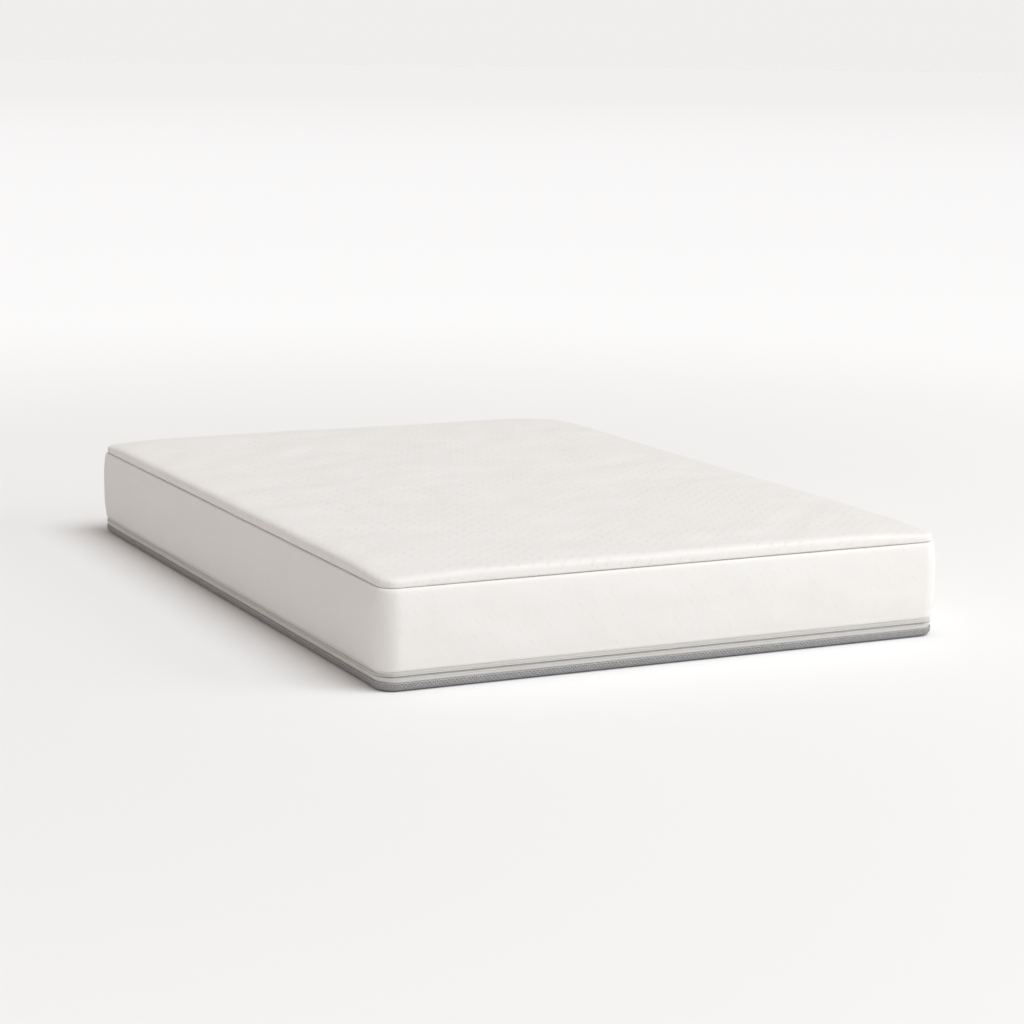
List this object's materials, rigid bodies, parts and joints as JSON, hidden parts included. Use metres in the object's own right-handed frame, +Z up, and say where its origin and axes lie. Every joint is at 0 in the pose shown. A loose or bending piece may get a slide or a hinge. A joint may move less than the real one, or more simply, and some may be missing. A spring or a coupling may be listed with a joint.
{
  "type": "memory foam mattress",
  "caption": "Double memory foam mattress with a softly crowned knitted cover, a sunk seam all round the top edge and a zip round the lower edge.",
  "frame": {"origin": "middle of the flat underside, on the surface the mattress lies on", "axes": "+Z up, +Y along the length from the foot end to the head end, +X across the width"},
  "size_m": [1.4, 2, 0.25],
  "materials": {
    "cover_knit": "matte",
    "wadding": "matte",
    "backing": "matte",
    "thread": "satin",
    "zip_tape": "matte",
    "zip_coil": "satin",
    "zip_metal": "satin",
    "base_fabric": "matte",
    "sock_knit": "matte",
    "memory_foam": "matte",
    "transition_foam": "matte",
    "support_foam": "matte"
  },
  "bodies": {
    "mattress": {"top_panel_knit": "cover_knit", "top_panel_wadding": "wadding", "top_panel_backing": "backing", "top_seam_thread": "thread", "border_knit": "cover_knit", "border_wadding": "wadding", "zip_upper_tape": "zip_tape", "zip_lower_tape": "zip_tape", "zip_upper_coil": "zip_coil", "zip_lower_coil": "zip_coil", "zip_upper_thread": "thread", "zip_lower_thread": "thread", "zip_top_stop_upper": "zip_metal", "zip_top_stop_lower": "zip_metal", "zip_bottom_stop": "zip_metal", "bottom_panel": "base_fabric", "fire_sock": "sock_knit", "memory_foam_layer": "memory_foam", "transition_foam_layer": "transition_foam", "support_foam_core": "support_foam"},
    "slider": {"zip_slider": "zip_metal"},
    "pull": {"zip_pull": "zip_metal"}
  },
  "joints": [
    {"name": "zip_slide", "type": "slide", "parent": "mattress", "child": "slider", "axis": [-1, 0, 0], "range_m": [0, 1.18]},
    {"name": "pull_flip", "type": "hinge", "parent": "slider", "child": "pull", "pos_m": [0.59, 0.9964, 0.032], "axis": [0, 0, -1], "range_deg": [0, 180]}
  ]
}
